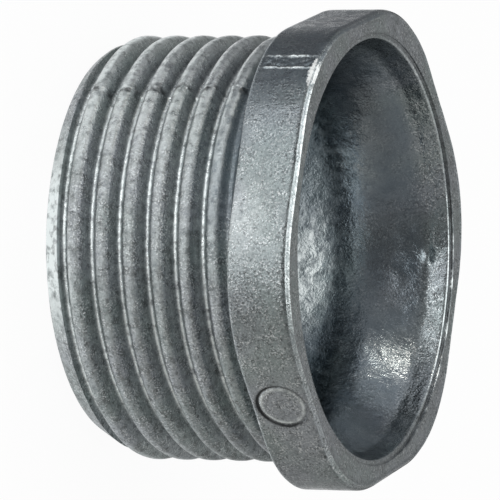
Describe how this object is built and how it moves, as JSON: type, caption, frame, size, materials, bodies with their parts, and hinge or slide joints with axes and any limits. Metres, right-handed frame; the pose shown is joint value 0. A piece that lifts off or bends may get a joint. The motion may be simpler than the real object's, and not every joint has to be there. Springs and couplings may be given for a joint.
{
  "type": "conduit chase nipple",
  "caption": "Short die-cast conduit nipple with a rounded hexagon head, a smooth bell mouth, a male pipe thread and a straight through bore for cables.",
  "frame": {"origin": "on the nipple's axis, in the plane of the head's back face, which seats against the box wall", "axes": "+Z along the axis, out of the mouth; the thread runs down -Z; +X through a corner of the head, in the die's parting plane"},
  "size_m": [0.0302, 0.0286, 0.017],
  "materials": {
    "cast_zinc": "as-cast zinc alloy, dull grey with a fine mottled grain and tarnish in the thread roots"
  },
  "bodies": {
    "root": {"nipple_body": "cast_zinc"}
  },
  "joints": []
}
